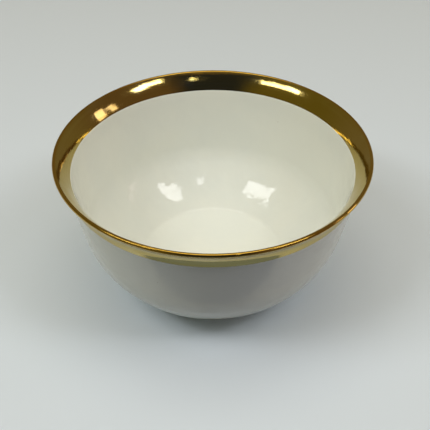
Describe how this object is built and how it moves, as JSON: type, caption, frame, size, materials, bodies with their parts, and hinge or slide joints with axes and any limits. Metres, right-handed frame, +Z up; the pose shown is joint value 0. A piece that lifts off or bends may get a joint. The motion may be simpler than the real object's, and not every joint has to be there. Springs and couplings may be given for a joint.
{
  "type": "porcelain serving bowl",
  "caption": "Deep round porcelain serving bowl with a turned-out lip, gilded inside, on the edge and outside, on a low foot ring.",
  "frame": {"origin": "centre of the circle that the foot ring stands on", "axes": "+Z up along the bowl's axis; the bowl is round, so X and Y are any two level directions"},
  "size_m": [0.203, 0.203, 0.1025],
  "materials": {
    "glazed_porcelain": "polished",
    "foot_porcelain": "satin",
    "band_gold": "polished",
    "edge_gold": "gloss"
  },
  "bodies": {
    "root": {"porcelain_body": "glazed_porcelain", "foot_ring": "foot_porcelain", "gold_band_inner": "band_gold", "gold_rim": "edge_gold", "gold_band_outer": "band_gold"}
  },
  "joints": []
}
